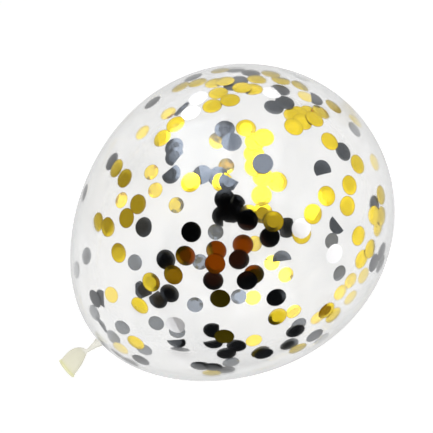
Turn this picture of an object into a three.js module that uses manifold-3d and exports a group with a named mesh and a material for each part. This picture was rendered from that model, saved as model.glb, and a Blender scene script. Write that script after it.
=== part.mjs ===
// Confetti balloon: one moulded latex skin, blown up, sealed by its twisted neck and lying on its side.
// Millimetres, +Z up. The flat spot that it rests on is centred on the origin, and the neck points to -X.

import * as THREE from "three";
import { mergeVertices } from "three/addons/utils/BufferGeometryUtils.js";
import Module from "manifold-3d";

// Driving dimensions of the blown body
const BODY_DIAMETER = 300;
const BODY_LENGTH = 345;
const NECK_HALF_TAPER = 0.095; // how much slimmer the half towards the neck is than the crown half
const BOTH_ENDS_TAPER = 0.044; // how much both ends are drawn in compared with an ellipse

// Driving dimensions of the gathered neck, between the body and the pinch that seals it
const NECK_LENGTH = 21;
const NECK_ROOT_WIDTH = 13;
const PINCH_WIDTH = 3.8;
const NECK_SHIFT = 4; // how far the root sits to one side of the body's axis
const PINCH_SHIFT = 2.9; // the same at the pinch and at the lip
const TWIST_FOLDS = 6;
const TWIST_TURNS = 0.45;
const TWIST_FOLD_DEPTH = 0.09; // share of the neck's radius

// Driving dimensions of the open tail, from the pinch to the rolled lip
const TAIL_LENGTH = 29.5;
const TAIL_WIDTH = 21;
const TAIL_DEPTH = 7.4;
const TAIL_FLARE = 3.2; // how early the tail widens: 1 is a straight cone
const TAIL_BULGE = 2.9; // how far the tail's shoulder leans to one side
const TAIL_PLEATS = 5;
const TAIL_PLEAT_DEPTH = 0.28;
const LATEX_WALL = 0.5;
const LIP_BEAD = 2.8;
const SEAL_LENGTH = 3; // solid latex between the pinch and the bottom of the tail's hollow

// How the balloon lies: the droop of its neck, and the depth of the spot that it rests on
const NECK_DROOP = 12.5; // degrees
const FLAT_DEPTH = 1.5;

// Smoothness of the facets
const BODY_SIDES = 64;
const BODY_RINGS = 42;
const NECK_SIDES = 36;
const NECK_RINGS = 9;
const TAIL_RINGS = 9;
const LIP_STEPS = 6;

const LATEX_COLOUR = 0xf4f3ea;
const LATEX_ROUGHNESS = 0.15;

const bodyEnd = BODY_LENGTH / 2;
const pinchPlace = bodyEnd + NECK_LENGTH;
const lipPlace = pinchPlace + TAIL_LENGTH;

function mix(from, to, share) {
  return from + (to - from) * share;
}

function smooth(share) {
  const held = Math.min(1, Math.max(0, share));
  return held * held * (3 - 2 * held);
}

// The egg-shaped outline of the blown body, with place running from -1 at the crown to 1 at the neck.
function eggShape(place) {
  const round = Math.sqrt(Math.max(0, 1 - place * place));
  return round * (1 - NECK_HALF_TAPER * place - BOTH_ENDS_TAPER * place * place);
}

function widestEggShape() {
  const steps = 2000;
  let widest = 0;
  for (let i = 0; i <= steps; i++) {
    widest = Math.max(widest, eggShape((2 * i) / steps - 1));
  }
  return widest;
}

const eggScale = BODY_DIAMETER / 2 / widestEggShape();

function bodyRadius(along) {
  return eggScale * eggShape(along / bodyEnd);
}

// Half of the neck's or the tail's width and depth, at a place along the axis
function halfWidth(along) {
  if (along < pinchPlace) {
    const toPinch = (along - bodyEnd) / NECK_LENGTH;
    return mix(NECK_ROOT_WIDTH, PINCH_WIDTH, 1 - Math.max(0, 1 - toPinch) ** 1.6) / 2;
  }
  const toLip = (along - pinchPlace) / TAIL_LENGTH;
  return mix(PINCH_WIDTH, TAIL_WIDTH, 1 - Math.max(0, 1 - toLip) ** TAIL_FLARE) / 2;
}

function halfDepth(along) {
  if (along < pinchPlace) {
    return halfWidth(along);
  }
  const toLip = (along - pinchPlace) / TAIL_LENGTH;
  return mix(PINCH_WIDTH, TAIL_DEPTH, smooth(2 * toLip)) / 2;
}

// How far the middle of the neck or tail lies to one side of the body's axis
function sideShift(along) {
  const toPinch = smooth((along - bodyEnd) / NECK_LENGTH);
  const toLip = Math.max(0, along - pinchPlace) / TAIL_LENGTH;
  const shoulder = TAIL_BULGE * Math.sin(Math.PI * Math.min(1, toLip) ** 0.5);
  return -mix(NECK_SHIFT, PINCH_SHIFT, toPinch) + shoulder;
}

function revolved(profile, sides) {
  const points = profile.map(([radius, along]) => new THREE.Vector2(radius, along));
  return new THREE.LatheGeometry(points, sides);
}

function bodyProfile() {
  const profile = [];
  for (let i = 0; i <= BODY_RINGS; i++) {
    const along = -bodyEnd * Math.cos((Math.PI * i) / BODY_RINGS);
    const atPole = i === 0 || i === BODY_RINGS;
    profile.push([atPole ? 0 : bodyRadius(along), along]);
  }
  return profile;
}

// From inside the body out along the neck and the tail, round the rolled lip and back down the hollow
function neckProfile() {
  const root = bodyEnd - NECK_ROOT_WIDTH / 2;
  const profile = [[0, root]];
  for (let i = 0; i < NECK_RINGS; i++) {
    const along = mix(root, pinchPlace, i / NECK_RINGS);
    profile.push([halfWidth(along), along]);
  }
  const beadStart = lipPlace - LIP_BEAD / 2;
  for (let i = 0; i < TAIL_RINGS; i++) {
    const along = mix(pinchPlace, beadStart, i / TAIL_RINGS);
    profile.push([halfWidth(along), along]);
  }
  const beadMiddle = halfWidth(lipPlace) - LATEX_WALL / 2;
  for (let i = 0; i <= LIP_STEPS; i++) {
    const turn = mix(-0.3, 1.3, i / LIP_STEPS) * Math.PI;
    const radius = beadMiddle + (LIP_BEAD / 2) * Math.cos(turn);
    profile.push([radius, lipPlace + (LIP_BEAD / 2) * Math.sin(turn)]);
  }
  const hollowEnd = pinchPlace + SEAL_LENGTH;
  for (let i = TAIL_RINGS - 1; i >= 1; i--) {
    const along = mix(hollowEnd, beadStart, i / TAIL_RINGS);
    profile.push([halfWidth(along) - LATEX_WALL, along]);
  }
  profile.push([0, hollowEnd]);
  return profile;
}

// Folds wind round the neck, and shallow pleats fan out along the tail.
function foldScale(along, angle) {
  const toPinch = (along - bodyEnd) / NECK_LENGTH;
  if (toPinch <= 0 || along >= pinchPlace) {
    return 1;
  }
  const wound = TWIST_FOLDS * (angle + 2 * Math.PI * TWIST_TURNS * toPinch);
  return 1 + TWIST_FOLD_DEPTH * smooth(3 * toPinch) * Math.cos(wound);
}

function pleatRise(along, angle) {
  const toLip = (along - pinchPlace) / TAIL_LENGTH;
  if (toLip <= 0 || toLip >= 1) {
    return 0;
  }
  return TAIL_PLEAT_DEPTH * Math.sin(Math.PI * toLip) * Math.cos(TAIL_PLEATS * angle);
}

// The round neck is pressed to its real sections: the wall keeps its thickness where the tail is flattened.
function shapeNeck(geometry) {
  const place = geometry.getAttribute("position");
  for (let i = 0; i < place.count; i++) {
    const across = place.getX(i);
    const along = place.getY(i);
    const deep = place.getZ(i);
    const radius = Math.hypot(across, deep);
    const angle = Math.atan2(deep, across);
    const onAxis = radius < 1e-6;
    const wide = onAxis ? 0 : radius * foldScale(along, angle) + pleatRise(along, angle);
    const thick = onAxis ? 0 : wide - halfWidth(along) + halfDepth(along);
    place.setX(i, wide * Math.cos(angle) + sideShift(along));
    place.setZ(i, thick * Math.sin(angle));
  }
  return geometry;
}

// Turns the axis from +Y to its lying place: the neck points to -X and droops.
function layDown(geometry) {
  geometry.rotateZ(Math.PI / 2);
  geometry.rotateY(-THREE.MathUtils.degToRad(NECK_DROOP));
  return geometry;
}

// The lowest point of the lying body, found along its outline
function lowestPoint() {
  const droop = THREE.MathUtils.degToRad(NECK_DROOP);
  const steps = 4000;
  let lowest = { x: 0, z: 0 };
  for (let i = 0; i <= steps; i++) {
    const along = bodyEnd * ((2 * i) / steps - 1);
    const radius = bodyRadius(along);
    const z = -along * Math.sin(droop) - radius * Math.cos(droop);
    if (z < lowest.z) {
      lowest = { x: -along * Math.cos(droop) + radius * Math.sin(droop), z };
    }
  }
  return lowest;
}

const wasm = await Module();
wasm.setup();

function solidOf(geometry) {
  const bare = geometry.clone();
  bare.deleteAttribute("normal");
  bare.deleteAttribute("uv");
  const merged = mergeVertices(bare);
  const vertProperties = merged.getAttribute("position").array;
  const triVerts = new Uint32Array(merged.index.array);
  return new wasm.Manifold(new wasm.Mesh({ numProp: 3, vertProperties, triVerts }));
}

function geometryOf(solid) {
  const mesh = solid.getMesh();
  const geometry = new THREE.BufferGeometry();
  geometry.setAttribute("position", new THREE.BufferAttribute(mesh.vertProperties, 3));
  geometry.setIndex(new THREE.BufferAttribute(mesh.triVerts, 1));
  geometry.computeVertexNormals();
  return geometry;
}

// Everything below the table top, which the resting spot is cut by
function belowTable() {
  const reach = 2 * BODY_LENGTH + NECK_LENGTH + TAIL_LENGTH;
  const block = new THREE.BoxGeometry(reach, BODY_DIAMETER, BODY_DIAMETER);
  return block.translate(0, 0, -BODY_DIAMETER / 2);
}

function makeBalloon() {
  const rest = lowestPoint();
  const body = layDown(revolved(bodyProfile(), BODY_SIDES));
  const neck = layDown(shapeNeck(revolved(neckProfile(), NECK_SIDES)));
  for (const geometry of [body, neck]) {
    geometry.translate(-rest.x, 0, -rest.z - FLAT_DEPTH);
  }
  const skin = solidOf(body).add(solidOf(neck)).subtract(solidOf(belowTable()));
  const latex = new THREE.MeshStandardMaterial({
    color: LATEX_COLOUR,
    roughness: LATEX_ROUGHNESS,
    metalness: 0,
  });
  const mesh = new THREE.Mesh(geometryOf(skin), latex);
  mesh.name = "balloon";
  return mesh;
}

const confettiBalloon = new THREE.Group();
confettiBalloon.add(makeBalloon());

export default confettiBalloon;
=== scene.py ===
# %% [markdown]
# # A confetti balloon
# A clear latex balloon is blown up to an egg shape, twisted shut at its neck and laid on its side. Gold
# and black foil discs cling to the inside of its skin. The lesson makes the skin from one sphere, punches
# one disc and copies it all over the inside, and then spends its time on what makes the picture: thin
# latex, foil and soft light.

# %% Load the frame
import math
import random

import bpy
from mathutils import Matrix, Vector


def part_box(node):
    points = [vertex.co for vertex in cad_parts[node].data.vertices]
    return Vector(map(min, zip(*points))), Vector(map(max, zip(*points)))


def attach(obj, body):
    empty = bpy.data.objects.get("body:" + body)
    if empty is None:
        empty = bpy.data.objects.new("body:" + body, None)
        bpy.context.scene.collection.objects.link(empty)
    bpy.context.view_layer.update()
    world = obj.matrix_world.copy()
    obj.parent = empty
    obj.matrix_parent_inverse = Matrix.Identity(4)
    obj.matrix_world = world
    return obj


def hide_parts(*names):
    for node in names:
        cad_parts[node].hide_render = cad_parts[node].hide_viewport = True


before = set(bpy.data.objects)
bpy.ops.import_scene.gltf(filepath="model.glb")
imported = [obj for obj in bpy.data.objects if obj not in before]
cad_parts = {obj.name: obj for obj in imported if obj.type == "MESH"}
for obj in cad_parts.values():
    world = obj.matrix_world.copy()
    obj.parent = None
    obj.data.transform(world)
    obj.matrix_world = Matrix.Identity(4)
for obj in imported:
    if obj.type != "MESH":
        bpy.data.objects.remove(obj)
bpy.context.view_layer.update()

low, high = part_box("balloon")
print("balloon solid from", tuple(low), "to", tuple(high))

# %% [markdown]
# ## How the balloon lies
# A blown balloon that is laid down rolls until its centre of mass is over the spot that it touches, and
# for this outline that leaves the neck drooping a little. The axis, from the crown to the neck, is one
# vector, and every piece is placed along it. The widest circle is read from the frame, and the other
# sizes are those of the solid.

# %% Sizes, in metres
BODY_DIAMETER = high.y - low.y
BODY_LENGTH = 0.345
NECK_HALF_TAPER = 0.095
BOTH_ENDS_TAPER = 0.044

NECK_LENGTH = 0.021
NECK_ROOT_WIDTH = 0.013
PINCH_WIDTH = 0.0038
NECK_FLARE = 1.6
NECK_SHIFT = 0.004
PINCH_SHIFT = 0.0029
TWIST_FOLDS = 6
TWIST_TURNS = 0.45
TWIST_FOLD_DEPTH = 0.09

TAIL_LENGTH = 0.0295
TAIL_WIDTH = 0.021
TAIL_DEPTH = 0.0074
TAIL_FLARE = 3.2
TAIL_BULGE = 0.0029
TAIL_PLEATS = 5
TAIL_PLEAT_DEPTH = 0.00028
LATEX_WALL = 0.0005
LIP_BEAD = 0.0028
SEAL_LENGTH = 0.003

NECK_DROOP = math.radians(12.5)
FLAT_DEPTH = 0.0015

BODY_END = BODY_LENGTH / 2
PINCH_PLACE = BODY_END + NECK_LENGTH
LIP_PLACE = PINCH_PLACE + TAIL_LENGTH


def mix(start, end, share):
    return start + (end - start) * share


def smooth(share):
    held = min(1.0, max(0.0, share))
    return held * held * (3 - 2 * held)


def egg_shape(place):
    """The outline's radius beside a sphere's, with place from -1 at the crown to 1 at the neck."""
    round_part = math.sqrt(max(0.0, 1 - place * place))
    return round_part * (1 - NECK_HALF_TAPER * place - BOTH_ENDS_TAPER * place * place)


OUTLINE_STEPS = 4000
OUTLINE = [2 * i / OUTLINE_STEPS - 1 for i in range(OUTLINE_STEPS + 1)]
EGG_SCALE = BODY_DIAMETER / 2 / max(egg_shape(place) for place in OUTLINE)


def lying_point(place):
    """Where the lower side of the outline lies, as (x, z) from the body's middle."""
    along, radius = BODY_END * place, EGG_SCALE * egg_shape(place)
    x = -along * math.cos(NECK_DROOP) + radius * math.sin(NECK_DROOP)
    return x, -along * math.sin(NECK_DROOP) - radius * math.cos(NECK_DROOP)


touch = min((lying_point(place) for place in OUTLINE), key=lambda point: point[1])
CENTRE = Vector((-touch[0], 0, -touch[1] - FLAT_DEPTH))
AXIS = Vector((-math.cos(NECK_DROOP), 0, -math.sin(NECK_DROOP)))
SIDEWAYS = Vector((0, 1, 0))
LYING = Matrix.Translation(CENTRE) @ Matrix((SIDEWAYS, AXIS.cross(SIDEWAYS), AXIS)).transposed().to_4x4()
print("body's middle", tuple(CENTRE), "neck towards", tuple(AXIS))

# %% [markdown]
# ## The camera
# The camera looks down on the lying balloon, from the side on which the balloon shows its outline as a
# balloon in the air would. It comes before the pieces, because the confetti is placed by looking through
# it: a disc that is seen at one point of the picture lies where the line of sight meets the skin.

# %% Camera
PICTURE = 433
SENSOR = 36.0
LENS = 91.45
CAMERA_AZIMUTH = math.radians(-40)
CAMERA_ELEVATION = math.radians(86)
CAMERA_DISTANCE = 1.1
OFF_CENTRE_RIGHT = 0.01006
OFF_CENTRE_DOWN = 0.01201

TO_CAMERA = Vector((
    math.sin(CAMERA_AZIMUTH) * math.cos(CAMERA_ELEVATION),
    -math.cos(CAMERA_AZIMUTH) * math.cos(CAMERA_ELEVATION),
    math.sin(CAMERA_ELEVATION),
))
RIGHT = Vector((math.cos(CAMERA_AZIMUTH), math.sin(CAMERA_AZIMUTH), 0))
UP = TO_CAMERA.cross(RIGHT)

camera_data = bpy.data.cameras.new("camera")
camera_data.lens = LENS
camera_data.sensor_width = SENSOR
camera = bpy.data.objects.new("camera", camera_data)
bpy.context.scene.collection.objects.link(camera)
eye = CENTRE + TO_CAMERA * CAMERA_DISTANCE - RIGHT * OFF_CENTRE_RIGHT + UP * OFF_CENTRE_DOWN
camera.matrix_world = Matrix.Translation(eye) @ Matrix((RIGHT, UP, TO_CAMERA)).transposed().to_4x4()
bpy.context.scene.camera = camera


def line_of_sight(x, y):
    """The direction in which the camera sees a point, given in pixels from the picture's top left corner."""
    pixel = SENSOR / PICTURE / LENS
    half = PICTURE / 2
    return (RIGHT * (x - half) * pixel + UP * (half - y) * pixel - TO_CAMERA).normalized()


print("camera at", tuple(eye))

# %% [markdown]
# ## The skin
# The real skin is one dipped piece: body, neck, tail and rolled lip are the same sheet of latex. So the
# mesh is one piece too. It could be spun from a profile, but a sphere is closer to what happens when it
# is blown up: the sphere is stretched into an egg, and the neck is drawn out of its end by extruding one
# small cap, ring after ring.

# %% Helpers for modelling
def deselect():
    for other in bpy.context.selected_objects:
        other.select_set(False)


def edit_mode(select="VERT"):
    bpy.ops.object.mode_set(mode="EDIT")
    bpy.ops.mesh.select_mode(type=select)


def object_mode():
    bpy.ops.object.mode_set(mode="OBJECT")


def named(name):
    piece = bpy.context.object
    piece.name = name
    piece.data.name = name
    return piece


def report(piece):
    mesh = piece.data
    mesh.calc_loop_triangles()
    print(piece.name, len(mesh.vertices), "vertices", len(mesh.loop_triangles), "triangles")


# %% The body, stretched from a sphere
BODY_SIDES = 128
BODY_RINGS = 60

deselect()
bpy.ops.mesh.primitive_uv_sphere_add(segments=BODY_SIDES, ring_count=BODY_RINGS, radius=EGG_SCALE)
skin = named("balloon_skin")
edit_mode()
bpy.ops.mesh.select_all(action="SELECT")
bpy.ops.transform.resize(value=(1, 1, BODY_END / EGG_SCALE))
bpy.ops.mesh.select_all(action="DESELECT")
object_mode()
for vertex in skin.data.vertices:
    place = vertex.co.z / BODY_END
    drawn_in = 1 - NECK_HALF_TAPER * place - BOTH_ENDS_TAPER * place * place
    vertex.co.x *= drawn_in
    vertex.co.y *= drawn_in
report(skin)

# %% [markdown]
# The neck is gathered to a pinch and opens again into the tail. Three short formulas hold its width, its
# depth and how far it leans to one side. The stations list every ring on the way: down the neck, along
# the outside of the tail, round the rolled lip, and back down the inside of the tail to where the latex
# is pressed shut.

# %% Stations along the neck and the tail
def half_width(along):
    if along < PINCH_PLACE:
        left = max(0.0, 1 - (along - BODY_END) / NECK_LENGTH)
        return mix(NECK_ROOT_WIDTH, PINCH_WIDTH, 1 - left ** NECK_FLARE) / 2
    left = max(0.0, 1 - (along - PINCH_PLACE) / TAIL_LENGTH)
    return mix(PINCH_WIDTH, TAIL_WIDTH, 1 - left ** TAIL_FLARE) / 2


def half_depth(along):
    if along < PINCH_PLACE:
        return half_width(along)
    return mix(PINCH_WIDTH, TAIL_DEPTH, smooth(2 * (along - PINCH_PLACE) / TAIL_LENGTH)) / 2


def side_shift(along):
    to_pinch = smooth((along - BODY_END) / NECK_LENGTH)
    to_lip = min(1.0, max(0.0, along - PINCH_PLACE) / TAIL_LENGTH)
    shoulder = TAIL_BULGE * math.sin(math.pi * math.sqrt(to_lip))
    return shoulder - mix(NECK_SHIFT, PINCH_SHIFT, to_pinch)


NECK_STATIONS = 14
TAIL_STATIONS = 16
LIP_STATIONS = 10
BEAD_FROM = -0.3
BEAD_TO = 1.3
HOLLOW_END = PINCH_PLACE + SEAL_LENGTH
BEAD_START = LIP_PLACE - LIP_BEAD / 2

stations = []
for i in range(1, NECK_STATIONS + 1):
    along = mix(BODY_END, PINCH_PLACE, i / NECK_STATIONS)
    stations.append((along, half_width(along)))
for i in range(1, TAIL_STATIONS):
    along = mix(PINCH_PLACE, BEAD_START, i / TAIL_STATIONS)
    stations.append((along, half_width(along)))
bead_middle = half_width(LIP_PLACE) - LATEX_WALL / 2
for i in range(LIP_STATIONS + 1):
    turn = mix(BEAD_FROM, BEAD_TO, i / LIP_STATIONS) * math.pi
    radius = bead_middle + LIP_BEAD / 2 * math.cos(turn)
    stations.append((LIP_PLACE + LIP_BEAD / 2 * math.sin(turn), radius))
for i in range(TAIL_STATIONS - 1, 0, -1):
    along = mix(HOLLOW_END, BEAD_START, i / TAIL_STATIONS)
    stations.append((along, half_width(along) - LATEX_WALL))
print(len(stations), "stations from", BODY_END, "to", LIP_PLACE)

# %% Draw the neck out of the end of the body
first_ring = BODY_END * math.cos(math.pi / BODY_RINGS)
for polygon in skin.data.polygons:
    polygon.select = polygon.center.z > first_ring
edit_mode("FACE")
cap_place, cap_radius = first_ring, EGG_SCALE * egg_shape(first_ring / BODY_END)
for along, radius in stations:
    bpy.ops.mesh.extrude_region_move(TRANSFORM_OT_translate={"value": (0, 0, along - cap_place)})
    scale = radius / cap_radius
    bpy.ops.transform.resize(value=(scale, scale, 1), center_override=(0, 0, along))
    cap_place, cap_radius = along, radius
object_mode()
report(skin)

# %% [markdown]
# Extruding gave round rings. Real latex is twisted into folds round the neck and pressed flat in the
# tail, so each vertex of the neck is moved to its true section. The wall keeps its thickness where the
# tail is flattened, and the end of the body leans over a little with the neck, as it does where a hand
# has twisted it.

# %% Fold, flatten and lean the neck
LEAN_REACH = 0.045
FINE_FOLDS = 17
FINE_FOLD_DEPTH = 0.03
FOLD_ONSET = 3
ON_AXIS = 1e-6


def fold_scale(along, angle):
    to_pinch = (along - BODY_END) / NECK_LENGTH
    if to_pinch <= 0 or along >= PINCH_PLACE:
        return 1.0
    wound = angle + 2 * math.pi * TWIST_TURNS * to_pinch
    folds = TWIST_FOLD_DEPTH * math.cos(TWIST_FOLDS * wound)
    folds += FINE_FOLD_DEPTH * math.cos(FINE_FOLDS * wound)
    return 1 + folds * smooth(FOLD_ONSET * to_pinch)


def pleat_rise(along, angle):
    to_lip = (along - PINCH_PLACE) / TAIL_LENGTH
    if to_lip <= 0 or to_lip >= 1:
        return 0.0
    return TAIL_PLEAT_DEPTH * math.sin(math.pi * to_lip) * math.cos(TAIL_PLEATS * angle)


for vertex in skin.data.vertices:
    point = vertex.co
    radius = math.hypot(point.x, point.y)
    if point.z > first_ring + LATEX_WALL / 2 and radius > ON_AXIS:
        angle = math.atan2(-point.y, point.x)
        wide = radius * fold_scale(point.z, angle) + pleat_rise(point.z, angle)
        thick = wide - half_width(point.z) + half_depth(point.z)
        point.x = wide * math.cos(angle) + side_shift(point.z)
        point.y = -thick * math.sin(angle)
    elif point.z > first_ring + LATEX_WALL / 2:
        point.x = side_shift(point.z)
    elif point.z > 0:
        point.x -= NECK_SHIFT * smooth((LEAN_REACH - radius) / LEAN_REACH)
report(skin)

# %% Lay the skin down on its flat spot
skin.data.transform(LYING)
for vertex in skin.data.vertices:
    vertex.co.z = max(0.0, vertex.co.z)
deselect()
skin.select_set(True)
bpy.ops.object.shade_smooth()
edit_mode()
bpy.ops.mesh.select_all(action="SELECT")
bpy.ops.mesh.normals_make_consistent(inside=False)
object_mode()
bpy.context.view_layer.update()
report(skin)

# %% [markdown]
# ## Shader maths
# Materials are nodes, and node sums are hard to read when every Math node takes a line. A small class
# wraps a socket, so that an ordinary Python expression adds the nodes that work it out.

# %% Sockets that add, multiply and compare
class Amount:
    """A number that changes over a surface."""

    def __init__(self, recipe, socket):
        self.recipe = recipe
        self.socket = socket

    def combine(self, operation, first, second):
        node = self.recipe.add("ShaderNodeMath", {"operation": operation}, {0: first, 1: second})
        return Amount(self.recipe, node.outputs[0])

    def __add__(self, other):
        return self.combine("ADD", self, other)

    def __radd__(self, other):
        return self.combine("ADD", other, self)

    def __sub__(self, other):
        return self.combine("SUBTRACT", self, other)

    def __rsub__(self, other):
        return self.combine("SUBTRACT", other, self)

    def __mul__(self, other):
        return self.combine("MULTIPLY", self, other)

    def __rmul__(self, other):
        return self.combine("MULTIPLY", other, self)

    def __truediv__(self, other):
        return self.combine("DIVIDE", self, other)

    def __rtruediv__(self, other):
        return self.combine("DIVIDE", other, self)

    def __pow__(self, other):
        return self.combine("POWER", self, other)

    def __abs__(self):
        return self.combine("ABSOLUTE", self, 0)

    def between(self, start, end):
        """0 up to start, 1 from end, and a soft step between them."""
        node = self.recipe.add(
            "ShaderNodeMapRange",
            {"interpolation_type": "SMOOTHSTEP"},
            {"Value": self, "From Min": start, "From Max": end},
        )
        return Amount(self.recipe, node.outputs["Result"])


class Recipe:
    """The node tree of a material or of the world. The method add makes any node, and the others use it."""

    def __init__(self, tree):
        self.tree = tree
        tree.nodes.clear()

    def add(self, kind, settings=None, values=None):
        node = self.tree.nodes.new(kind)
        for name, setting in (settings or {}).items():
            setattr(node, name, setting)
        for name, value in (values or {}).items():
            socket = node.inputs[name]
            if isinstance(value, Amount):
                self.tree.links.new(value.socket, socket)
            elif isinstance(value, bpy.types.NodeSocket):
                self.tree.links.new(value, socket)
            else:
                socket.default_value = value
        return node

    def amount(self, kind, settings=None, values=None, output=0):
        return Amount(self, self.add(kind, settings, values).outputs[output])

    def place(self):
        """Where a point of the surface is, in the object's own coordinates."""
        return self.add("ShaderNodeTexCoord").outputs["Object"]

    def noise(self, points, scale, detail):
        values = {"Vector": points, "Scale": scale, "Detail": detail}
        return self.amount("ShaderNodeTexNoise", None, values, "Fac")

    def dot(self, first, second):
        values = {0: first, 1: second}
        return self.amount("ShaderNodeVectorMath", {"operation": "DOT_PRODUCT"}, values, "Value")

    def colours(self, share, first, second):
        """A colour between two others."""
        values = {"Factor": share, 6: first, 7: second}
        return self.add("ShaderNodeMix", {"data_type": "RGBA"}, values).outputs[2]

    def blend(self, share, first, second):
        """A shader between two others."""
        values = {0: share, 1: first.outputs[0], 2: second.outputs[0]}
        return self.add("ShaderNodeMixShader", None, values)

    def finish(self, shader):
        self.add("ShaderNodeOutputMaterial", None, {"Surface": shader.outputs[0]})


def material(name):
    made = bpy.data.materials.new(name)
    made.use_nodes = True
    return made, Recipe(made.node_tree)


# %% [markdown]
# ## Thin latex
# Blown latex is a hundredth of its first thickness. Most light goes straight through, a little is
# scattered on the way, which makes the far side look milky, and the surface is glossy like any rubber. A
# disc that touches the skin shuts out the light from behind, so it stays dark while the discs on the far
# side look pale. A Transparent and a Translucent shader mixed together do just that, and the gloss is
# laid over them. The skin is never quite even: the film is smoky in places, and the inside is dusted with
# fine talc, so two noises vary the mix. Where a colour has to vary, two plain shaders are mixed, because
# the factor of a mix is what the export can bake.

# %% Latex of the blown body
WHITE = (1, 1, 1, 1)
CLEAR_TINT = (0.965, 0.96, 0.955, 1)
SMOKY_TINT = (0.915, 0.915, 0.915, 1)
MILK = (0.94, 0.955, 0.965, 1)
MILKINESS = 0.225
MILKINESS_AT_EDGE = 0.9
MOST_MILK = 0.8
EVEN_SHARE = 0.85
CLOUD_SCALE = 16.0
CLOUD_SHARE = 0.1
SMOKE_FROM = 0.45
SMOKE_TO = 0.68
TALC_SCALE = 2500.0
TALC_SHARE = 0.2
LEAST_GLOSS = 0.013
GLOSS_ROUGHNESS = 0.06


def latex_body():
    made, recipe = material("clear_latex")
    points = recipe.place()
    facing = recipe.amount("ShaderNodeLayerWeight", None, {"Blend": 0.5}, "Facing")
    clouds = recipe.noise(points, CLOUD_SCALE, 2.0)
    talc = recipe.noise(points, TALC_SCALE, 0.0)
    milk = MILKINESS + MILKINESS_AT_EDGE * facing**4
    milky = milk * (EVEN_SHARE + CLOUD_SHARE * clouds + TALC_SHARE * talc)
    clear = recipe.add("ShaderNodeBsdfTransparent", None, {"Color": CLEAR_TINT})
    smoky = recipe.add("ShaderNodeBsdfTransparent", None, {"Color": SMOKY_TINT})
    straight = recipe.blend(clouds.between(SMOKE_FROM, SMOKE_TO), clear, smoky)
    scattered = recipe.add("ShaderNodeBsdfTranslucent", None, {"Color": MILK})
    share = recipe.amount("ShaderNodeMath", {"operation": "MINIMUM"}, {0: milky, 1: MOST_MILK})
    film = recipe.blend(share, straight, scattered)
    gloss = recipe.add("ShaderNodeBsdfAnisotropic", None, {"Color": WHITE, "Roughness": GLOSS_ROUGHNESS})
    mirror = LEAST_GLOSS + (1 - LEAST_GLOSS) * facing**5
    recipe.finish(recipe.blend(mirror, film, gloss))
    return made


# %% [markdown]
# The neck was never stretched, so its latex is thick: creamy rather than clear, and yellower in the
# rolled lip, where many layers lie on each other. It still lets light through, half of it straight and
# half of it scattered, with only a trace of a dull surface on top.

# %% Latex of the neck, tail and lip
CREAM = (0.992, 0.985, 0.935, 1)
CREAM_LIP = (0.95, 0.95, 0.66, 1)
STRAIGHT_SHARE = 0.5
DULL_SHARE = 0.03
WRINKLE_SCALE = 260.0
WRINKLE_DEPTH = 0.0006
WRINKLING = 0.25
LIP_START = LIP_PLACE + AXIS.dot(CENTRE) - LIP_BEAD


def latex_neck():
    made, recipe = material("creamy_latex")
    points = recipe.place()
    along = recipe.dot(points, AXIS)
    lip = along.between(LIP_START, LIP_START + LIP_BEAD / 2)
    colour = recipe.colours(lip, CREAM, CREAM_LIP)
    wrinkles = recipe.noise(points, WRINKLE_SCALE, 4.0)
    relief = {"Strength": WRINKLING, "Distance": WRINKLE_DEPTH, "Height": wrinkles}
    bump = recipe.add("ShaderNodeBump", None, relief)
    latex = recipe.add("ShaderNodeBsdfPrincipled", None, {
        "Base Color": colour,
        "Roughness": 0.35,
        "Normal": bump.outputs[0],
    })
    creamy = recipe.add("ShaderNodeBsdfTranslucent", None, {"Color": CREAM})
    yellower = recipe.add("ShaderNodeBsdfTranslucent", None, {"Color": CREAM_LIP})
    through = recipe.blend(lip, creamy, yellower)
    clear = recipe.add("ShaderNodeBsdfTransparent", None, {"Color": CREAM})
    soft = recipe.blend(STRAIGHT_SHARE, through, clear)
    recipe.finish(recipe.blend(DULL_SHARE, soft, latex))
    return made


# %% Dress the skin
skin.data.materials.append(latex_body())
skin.data.materials.append(latex_neck())
neck_from = (LYING @ Vector((0, 0, BODY_END))).dot(AXIS)
for polygon in skin.data.polygons:
    polygon.material_index = 1 if polygon.center.dot(AXIS) > neck_from else 0
print("the skin wears", [worn.name for worn in skin.data.materials])

# %% [markdown]
# ## Foil
# Gold foil is a mirror with a yellow tint, so its colour is that of the studio around it. Black foil is a
# glossy film over black. Neither is quite flat: shallow waves, a few to a disc, bend what they mirror.
# The gold is darker along its cut edge, a painted shade for the thin shadow where discs overlap, and
# that edge is found by how near the rim a point is.

# %% Gold and black foil
GOLD = (0.89, 0.675, 0.028, 1)
BLACK = (0.002, 0.002, 0.003, 1)
# Painted shade along the gold's cut edge, for the thin shadow where discs overlap.
GOLD_EDGE_SHADE = (0.35, 0.22, 0.01, 1)
COOL_SHINE = (0.76, 0.86, 1, 1)
EDGE_SHADE_FROM = 0.95
EDGE_SHADE_TO = 0.98
WAVE_SCALE = 70.0
WAVINESS = 0.16
WAVE_HEIGHT = 0.001
SCUFF_SCALE = 420.0


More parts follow.
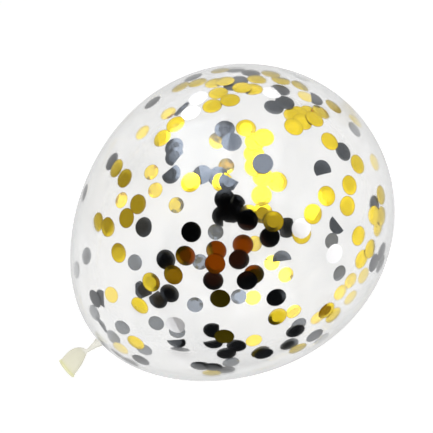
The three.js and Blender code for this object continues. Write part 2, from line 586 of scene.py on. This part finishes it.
def foil(name, colour, edge_shade, metallic, bend, shine, roughness):
    """Foil of some colour, with painted shade along its cut edge if an edge shade is given; bend is its
    refraction.
    """
    made, recipe = material(name)
    points = recipe.place()
    waves = recipe.noise(points, WAVE_SCALE, 2.0)
    relief = {"Strength": WAVINESS, "Distance": WAVE_HEIGHT, "Height": waves}
    bump = recipe.add("ShaderNodeBump", None, relief)
    scuffs = recipe.noise(points, SCUFF_SCALE, 3.0)
    if edge_shade:
        rim = recipe.amount("ShaderNodeAttribute", {"attribute_name": "rim"}, None, "Fac")
        # Painted shade: the gold darkens near its rim, for the thin shadow where discs overlap.
        colour = recipe.colours(rim.between(EDGE_SHADE_FROM, EDGE_SHADE_TO), colour, edge_shade)
    surface = recipe.add("ShaderNodeBsdfPrincipled", None, {
        "Base Color": colour,
        "Metallic": metallic,
        "IOR": bend,
        "Specular Tint": shine,
        "Roughness": roughness * (0.7 + 0.6 * scuffs),
        "Normal": bump.outputs[0],
    })
    recipe.finish(surface)
    return made


gold_foil = foil("gold_foil", GOLD, GOLD_EDGE_SHADE, 1.0, 1.5, WHITE, 0.08)
black_foil = foil("black_foil", BLACK, None, 0.0, 1.88, COOL_SHINE, 0.06)
print("foils:", gold_foil.name, "and", black_foil.name)

# %% [markdown]
# A few discs lie with their reverse outwards. It is a satin white that softly mirrors the bright room.
# Light falls on it from the front and through the thin film from behind, and a weak painted glow stands for
# it.

# %% White reverse of the foil
SATIN_WHITE = (0.92, 0.92, 0.94, 1)
SATIN_SCUFF_SCALE = 300.0
# A painted glow, for the light that falls on the white reverse.
PAINTED_GLOW = 0.3


def reverse_of_foil():
    made, recipe = material("white_reverse")
    points = recipe.place()
    scuffs = recipe.noise(points, SATIN_SCUFF_SCALE, 3.0)
    surface = recipe.add("ShaderNodeBsdfPrincipled", None, {
        "Base Color": SATIN_WHITE,
        "Metallic": 0.9,
        "Roughness": 0.3 + 0.2 * scuffs,
        # Painted light: the white reverse glows a little.
        "Emission Color": WHITE,
        "Emission Strength": PAINTED_GLOW,
    })
    recipe.finish(surface)
    return made


white_reverse = reverse_of_foil()
print("reverse:", white_reverse.name)

# %% [markdown]
# ## The confetti
# Each disc is punched from thin film and clings to the skin, so it takes the skin's curve. One disc is
# modelled flat, domed a little and given its thickness, and every whole disc is a copy of it. Some were
# bent as the balloon was filled: these are cut across by a bisect, and the part beyond the crease is
# turned up or folded under.

# %% One disc of foil
DISC_DIAMETER = 0.0182
DISC_RADIUS = DISC_DIAMETER / 2
DISC_SIDES = 24
FOIL_THICKNESS = 0.00012
DOME = DISC_RADIUS**2 / BODY_DIAMETER
DOMED_RING = 0.4


def flat_disc():
    deselect()
    bpy.ops.mesh.primitive_circle_add(vertices=DISC_SIDES, radius=DISC_RADIUS, fill_type="NGON")
    disc = named("disc")
    edit_mode("FACE")
    bpy.ops.mesh.select_all(action="SELECT")
    bpy.ops.mesh.inset(thickness=DISC_RADIUS * DOMED_RING)
    bpy.ops.transform.translate(value=(0, 0, DOME))
    bpy.ops.mesh.select_all(action="DESELECT")
    object_mode()
    rim = disc.data.attributes.new("rim", "FLOAT", "POINT")
    for vertex, nearness in zip(disc.data.vertices, rim.data):
        nearness.value = math.hypot(vertex.co.x, vertex.co.y) / DISC_RADIUS
    return disc


def fold_disc(disc, towards, share, degrees):
    """Folds what lies beyond a crease, which faces some way and is a share of the radius from the middle."""
    turn = Matrix.Rotation(math.radians(towards), 4, "Z")
    disc.data.transform(turn.inverted())
    crease = share * DISC_RADIUS
    deselect()
    disc.select_set(True)
    bpy.context.view_layer.objects.active = disc
    edit_mode()
    bpy.ops.mesh.select_all(action="SELECT")
    bpy.ops.mesh.bisect(plane_co=(crease, 0, 0), plane_no=(1, 0, 0))
    bpy.ops.mesh.select_all(action="DESELECT")
    object_mode()
    for vertex in disc.data.vertices:
        vertex.select = vertex.co.x > crease + FOIL_THICKNESS
    edit_mode()
    middle = (crease, 0, DOME / 2)
    bpy.ops.transform.rotate(value=math.radians(-degrees), orient_axis="Y", center_override=middle)
    bpy.ops.mesh.select_all(action="DESELECT")
    object_mode()
    disc.data.transform(turn)


def thicken(disc):
    wall = disc.modifiers.new("foil", "SOLIDIFY")
    wall.thickness = FOIL_THICKNESS
    wall.offset = -1
    deselect()
    disc.select_set(True)
    bpy.context.view_layer.objects.active = disc
    bpy.ops.object.modifier_apply(modifier=wall.name)


whole_disc = flat_disc()
thicken(whole_disc)
report(whole_disc)
heights = [vertex.co.z for vertex in whole_disc.data.vertices]
print("disc from", min(heights), "to", max(heights))

# %% [markdown]
# The discs cling where chance put them, so each one has its own place, in pixels of the picture. Those
# that face the camera lie where a line of sight enters the balloon, and the others where it leaves. Discs
# that overlap are stacked inwards from the skin, in the order of their lists. A fold is given by the way
# that its crease faces, in degrees anticlockwise from the right, and its distance from the middle as a
# share of the radius. A lean tips a disc a little to the right and upwards, which changes what it
# mirrors; where discs overlap, their leans are alike, or they would cut through each other.

# %% Where the discs are seen
def gold(x, y, *folds, lean=(0, 0)):
    return gold_foil, x, y, folds, lean


def black(x, y, *folds, lean=(0, 0)):
    return black_foil, x, y, folds, lean


def white(x, y, *folds, lean=(0, 0)):
    return white_reverse, x, y, folds, lean


FRONT = {
    "upper left": [
        white(190.5, 112), gold(175, 123.5), gold(161, 137), black(174, 156, (-43, 0.55)),
        black(173.5, 146.5), black(170.5, 173.5, (123, 0.5)), gold(190, 182, lean=(0, 0.1)),
        black(201, 174, lean=(0, 0.12)), black(231.5, 141, lean=(0.09, 0)),
        black(224.5, 128, lean=(0.09, -0.02)), black(181, 108, (135, 0.2), (-45, 0.3)),
    ],
    "left": [
        gold(124, 178), gold(116, 168), black(111, 161), gold(126, 218), gold(137, 204), gold(107, 227),
        gold(97, 222), gold(118, 253), black(143, 227), black(84, 193),
    ],
    "top": [
        white(198, 97), gold(230, 99.5), gold(212, 105), gold(218, 92), gold(257, 78.5), gold(242, 87),
        gold(253, 88), gold(225, 80.5), gold(214, 82), black(238.5, 79.5), black(233, 84), gold(197, 82),
        gold(180, 86), black(193, 77), black(152, 102), gold(220, 70), black(235, 69), black(251, 72),
    ],
    "top right": [
        gold(281, 79.5), gold(271, 73), white(272, 91), black(281, 88), gold(300.5, 85),
        black(285.5, 100.5), black(274.5, 105), black(314.5, 98, (180, 0.35)),
    ],
    "heap": [
        gold(315, 118.5), gold(294, 126.5), gold(322, 110.5, lean=(0.12, 0.12)), gold(303, 121),
        gold(294, 114), gold(301, 111), gold(311, 110), gold(334, 106), gold(330, 141), black(344, 151),
    ],
    "right": [
        black(323, 169.5, (-70, 0.45)), gold(358, 164), gold(350, 185), gold(348, 206), gold(327, 196),
        gold(313.5, 214), gold(359, 236), black(338, 224, (44, 0.08)), white(335, 254), white(302, 228.5),
        gold(302.5, 234),
    ],
    "right rim": [
        gold(381.5, 195), gold(375, 215.5), gold(382.5, 216), gold(379.5, 227), gold(371, 249),
        gold(362.5, 259.5), black(374.5, 263), black(381, 264), black(382.5, 252), black(376, 205),
    ],
    "chain": [
        black(263, 163), gold(246, 127.5), gold(264, 137), gold(255, 141), gold(254, 153), gold(255, 166),
        gold(263, 176), gold(278, 181), gold(262, 195),
    ],
    "middle": [
        black(247.5, 220.5, lean=(-0.02, -0.03)), black(224.5, 199, lean=(0, -0.06)),
        black(235, 204.5, (-40, 0.67), lean=(-0.03, -0.09)),
        black(231, 213, (-95, 0.9), lean=(-0.03, -0.06)), black(222, 216, (0, 0.1)), gold(273.5, 221.5),
        gold(263, 213, lean=(0.01, 0.01)), gold(249, 215, lean=(-0.02, -0.02)),
        black(229, 180.5, (59, 0.35), (-34, 0.85), lean=(0, 0.08)), gold(222, 181.5, lean=(0, 0.08)),
        black(217.5, 175.5, lean=(0, 0.08)), black(270, 237.5),
        black(288, 228, (15, 0.75), (195, 0.8), lean=(-0.05, -0.12)),
        black(283, 262, (277, 0.02), lean=(0.08, 0.29)),
    ],
    "lower middle": [
        black(191, 232), black(239, 260, lean=(0.09, -0.04)), gold(243, 245, lean=(-0.03, -0.06)),
        gold(215, 264), gold(216, 251), gold(185, 256, lean=(0.06, 0)), gold(173, 275),
        black(165, 260, lean=(0.09, 0.04)), black(213, 281), black(247, 281), gold(254, 275),
        gold(220, 299), black(276.5, 298), gold(278, 318, lean=(0.1, 0.13)),
    ],
    "lower left": [
        black(142, 291, (-60, 0.7), (65, 0.75), (180, 0.85), lean=(0.13, 0.06)), gold(150.5, 282.5),
        gold(139, 306.5), black(157, 300.5, (50, 0.72), (130, 0.72), lean=(0.06, 0.1)),
        black(168.5, 294.5, lean=(0.03, 0)), black(94.5, 299), black(101.5, 299, (0, 0.3)),
        gold(135.5, 343), black(101.5, 325, (45, 0.3), (225, 0.3)), black(140.5, 360.5),
        black(104, 345, (45, 0.3), (225, 0.3)), black(118, 355, (60, 0.3), (240, 0.3)), black(130, 362.5),
    ],
    "bottom": [
        gold(224.2, 337), black(213, 331.5, (0, 0.6)), black(213, 343.5, (110, 0.3)), black(236.5, 347),
        black(226.5, 355), black(176, 341.5, (112, 0.2)), black(179, 353.5, lean=(0, -1.2)),
        white(175, 325.5), black(264, 354.5), gold(261, 353.5), black(200, 366.5), black(213, 368),
        gold(211.5, 374.5), black(226, 372),
    ],
    "lower right": [
        gold(298, 349), black(290, 346, lean=(-0.04, 0)), black(296, 332, lean=(-0.1, -0.02)),
        black(315, 336), gold(327, 311), gold(334, 316),
    ],
}
BACK = {
    "left": [
        gold(151, 172), gold(155, 190), gold(176, 205), gold(142, 132), gold(121, 200), gold(111, 295),
        gold(168, 113), black(134.6, 262.5), black(86, 256), black(76, 270), black(94, 313),
    ],
    "middle": [
        gold(226, 165, lean=(0, -0.4)), gold(216, 138, lean=(0, -0.6)), gold(255, 244, lean=(0.3, 0)),
        gold(272, 263), gold(286, 275), gold(253, 298), black(215.6, 232), black(200, 262),
        black(239, 297), black(195, 305), black(156, 323.5),
    ],
    "right": [
        gold(294, 312), gold(254, 341), gold(318, 318), gold(351, 281), gold(341, 293), gold(364, 276),
        gold(351, 298), gold(375, 162), gold(356, 120), gold(306, 96), black(332, 241), black(299, 325),
        black(322, 339), black(355, 129), black(288, 71), black(302, 77), black(340, 273.5),
    ],
    "lower left": [
        black(122, 328), black(113, 338), gold(120, 349), black(144, 350), black(177, 332),
        black(231, 363),
    ],
}
print(sum(map(len, FRONT.values())), "discs in front,", sum(map(len, BACK.values())), "at the back")

# %% Cling the discs to the inside of the skin
CLING_GAP = 0.0003
STACK_STEP = 0.0005
MOST_LEAN = 0.025
PAST_SKIN = 0.0005
FOLDED_BY = 172
BENT_SHARE = 0.22
BENT_BY = 10
LEAST_BENT = 0.1
MOST_BENT = 0.5

chance = random.Random(11)


def wall_point(x, y, far):
    """Where a line of sight enters the skin, or leaves it when far is set, with the outward normal there."""
    direction = line_of_sight(x, y)
    hit, place, normal, _ = skin.ray_cast(eye, direction)
    if hit and far:
        hit, place, normal, _ = skin.ray_cast(place + direction * PAST_SKIN, direction)
    if not hit:
        raise ValueError(f"no skin is seen at {x}, {y}")
    return place, normal


def disc_with(folds):
    """A copy of the whole disc, or a disc of its own where it has folds."""
    if not folds:
        disc = whole_disc.copy()
        disc.data = whole_disc.data.copy()
        bpy.context.scene.collection.objects.link(disc)
        return disc
    disc = flat_disc()
    for towards, share, degrees in folds:
        fold_disc(disc, towards, share, degrees)
    thicken(disc)
    return disc


placed = []


def cling(spot, far):
    """A disc on the inside of the skin, stacked under those that it overlaps."""
    finish, x, y, folds, lean = spot
    folds = [(towards, share, FOLDED_BY) for towards, share in folds]
    if not folds and chance.random() < BENT_SHARE:
        folds = [(chance.uniform(0, 360), chance.uniform(LEAST_BENT, MOST_BENT), BENT_BY)]
    disc = disc_with(folds)
    disc.data.materials.append(finish)
    place, normal = wall_point(x, y, far)
    under = [level for other, level in placed if (other - place).length < DISC_DIAMETER]
    level = max(under, default=-1) + 1
    placed.append((place, level))
    lean_right = lean[0] + chance.uniform(-MOST_LEAN, MOST_LEAN)
    lean_up = lean[1] + chance.uniform(-MOST_LEAN, MOST_LEAN)
    facing = (normal + RIGHT * lean_right + UP * lean_up).normalized()
    across = (RIGHT - facing * RIGHT.dot(facing)).normalized()
    depth = CLING_GAP + level * STACK_STEP + DOME + DISC_RADIUS * math.sin(facing.angle(normal))
    turned = Matrix((across, facing.cross(across), facing)).transposed().to_4x4()
    disc.data.transform(Matrix.Translation(place - normal * depth) @ turned)
    return disc


discs = {"gold_confetti": [], "black_confetti": []}
for areas, far in ((FRONT, False), (BACK, True)):
    for spots in areas.values():
        for spot in spots:
            colour = "black_confetti" if spot[0] == black_foil else "gold_confetti"
            discs[colour].append(cling(spot, far))
bpy.data.objects.remove(whole_disc)


def join(name):
    """All the discs of one colour as one object."""
    deselect()
    for disc in discs[name]:
        disc.select_set(True)
    bpy.context.view_layer.objects.active = discs[name][0]
    bpy.ops.object.join()
    joined = named(name)
    report(joined)
    return joined


gold_confetti = join("gold_confetti")
black_confetti = join("black_confetti")
print(len(placed), "discs, stacked up to", 1 + max(level for _, level in placed), "deep")

# %% [markdown]
# ## The studio
# The floor is a pale light table, so the picture has no hard shadow, as on a white product shot. It lies
# a hair under the balloon, so that the flat spot isn't in the same plane. Mirrors need something to
# mirror: the world shows them a white room with a dark side, painted as it would look on a mirror ball
# that hangs where the balloon is. Two panes of a window over the upper half of the picture give the pale
# glow. Light that the skin has scattered on its way to a disc would bring in the bright side from
# everywhere and grey the black foil, so it doesn't see the painted room.

# %% Floor
FLOOR_SIZE = 8.0
FLOOR_GAP = 0.0002
FLOOR_GREY = (0.6, 0.6, 0.6, 1)
FLOOR_GLOW = 0.98

deselect()
bpy.ops.mesh.primitive_plane_add(size=FLOOR_SIZE, location=(0, 0, -FLOOR_GAP))
floor = named("floor")
floor_material, recipe = material("light_table")
table = recipe.add("ShaderNodeBsdfPrincipled", None, {
    "Base Color": FLOOR_GREY,
    "Roughness": 0.9,
    "Emission Color": WHITE,
    "Emission Strength": FLOOR_GLOW,
})
recipe.finish(table)
floor.data.materials.append(floor_material)
floor.visible_glossy = False
report(floor)

# %% What mirrors see of the room
ROOM = (1.9, 1.9, 1.9, 1)
ROOM_DIMMER = (1.45, 1.43, 1.4, 1)
ROOM_EDGE = (0.85, 0.85, 0.85, 1)
LEFT_SIDE = (0.6, 0.54, 0.42, 1)
SHELF = (0.8, 0.72, 0.5, 1)
DARK_SIDE = (0.003, 0.0004, 0.0002, 1)
DARK_GLIMMER = (0.36, 0.07, 0.01, 1)
DIM_GLOW = (0.42, 0.27, 0.1, 1)
WINDOW = (8.2, 8.6, 9.3, 1)
SECOND_PANE = (5.0, 5.1, 5.4, 1)
LAMP = (3.6, 3.6, 3.6, 1)
DRIFT_SCALE = 5.0

world = bpy.data.worlds.new("studio")
bpy.context.scene.world = world
world.use_nodes = True
recipe = Recipe(world.node_tree)
direction = recipe.add("ShaderNodeTexCoord").outputs["Generated"]
bisector = recipe.add("ShaderNodeVectorMath", {"operation": "ADD"}, {0: direction, 1: TO_CAMERA}).outputs[0]
normal = recipe.add("ShaderNodeVectorMath", {"operation": "NORMALIZE"}, {0: bisector}).outputs[0]
ball_x = recipe.dot(normal, RIGHT)
ball_y = recipe.dot(normal, UP)


def oval(x, y, wide, tall, soft):
    """1 inside an oval of the mirror ball, and 0 outside."""
    away = (((ball_x - x) / wide) ** 2 + ((ball_y - y) / tall) ** 2) ** 0.5
    return 1 - away.between(1 - soft, 1 + soft)


def panel(x, y, wide, tall, lean, soft):
    """1 inside a leaning rectangle of the mirror ball, and 0 outside."""
    lean = math.radians(lean)
    across = (ball_x - x) * math.cos(lean) + (ball_y - y) * math.sin(lean)
    along = (ball_y - y) * math.cos(lean) - (ball_x - x) * math.sin(lean)
    inside = 1 - abs(across).between(wide - soft, wide + soft)
    return inside * (1 - abs(along).between(tall - soft, tall + soft))


spread = (ball_x**2 + ball_y**2) ** 0.5
drift = recipe.noise(normal, DRIFT_SCALE, 1.0)
dark_room = recipe.colours(oval(-0.05, -0.24, 0.19, 0.12, 0.3), DARK_SIDE, DARK_GLIMMER)
room = ROOM
for patch, colour in (
    (drift.between(0.4, 0.6), ROOM_DIMMER),
    (spread.between(0.84, 1.0), ROOM_EDGE),
    (oval(-0.66, 0.14, 0.2, 0.27, 0.4), LEFT_SIDE),
    (oval(-0.06, -0.27, 0.4, 0.41, 0.08), dark_room),
    (oval(0.08, -0.68, 0.34, 0.22, 0.1), DARK_SIDE),
    (oval(0.19, -0.01, 0.11, 0.08, 0.2), SHELF),
    (oval(0.66, 0.62, 0.08, 0.08, 0.3), SHELF),
    (oval(-0.36, -0.3, 0.08, 0.075, 0.25), DIM_GLOW),
    (oval(0.54, -0.56, 0.07, 0.07, 0.25), DIM_GLOW),
    (oval(0.41, 0.06, 0.09, 0.08, 0.3), LAMP),
    (panel(0.1, 0.31, 0.12, 0.24, 8, 0.03), SECOND_PANE),
    (panel(-0.25, 0.43, 0.16, 0.17, 8, 0.025), WINDOW),
):
    room = recipe.colours(patch, room, colour)
print("the room takes", len(world.node_tree.nodes), "nodes")

# %% What lights the dull surfaces
HORIZON_LIGHT = (0.35, 0.35, 0.35, 1)
OVERHEAD_LIGHT = (0.006, 0.006, 0.006, 1)
HORIZON_TOP = 0.15
OVERHEAD_FROM = 0.45

height = recipe.dot(direction, Vector((0, 0, 1)))
around = recipe.colours(height.between(HORIZON_TOP, OVERHEAD_FROM), HORIZON_LIGHT, OVERHEAD_LIGHT)
rays = recipe.add("ShaderNodeLightPath")
seen = recipe.colours(rays.outputs["Is Camera Ray"], around, WHITE)
mirrored = Amount(recipe, rays.outputs["Is Glossy Ray"])
scattered = Amount(recipe, rays.outputs["Transmission Depth"])
shown = recipe.colours(mirrored * (1 - scattered.between(0, 1)), seen, room)
background = recipe.add("ShaderNodeBackground", None, {"Color": shown, "Strength": 1.0})
recipe.add("ShaderNodeOutputWorld", None, {"Surface": background.outputs[0]})
print("the whole world takes", len(world.node_tree.nodes), "nodes")

# %% Picture settings
bpy.context.scene.view_settings.view_transform = "Standard"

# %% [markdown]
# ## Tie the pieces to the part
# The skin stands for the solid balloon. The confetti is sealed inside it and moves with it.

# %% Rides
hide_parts("balloon")
for piece, slot in ((skin, "clear_latex"), (gold_confetti, "gold_foil"), (black_confetti, "black_foil")):
    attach(piece, "root")
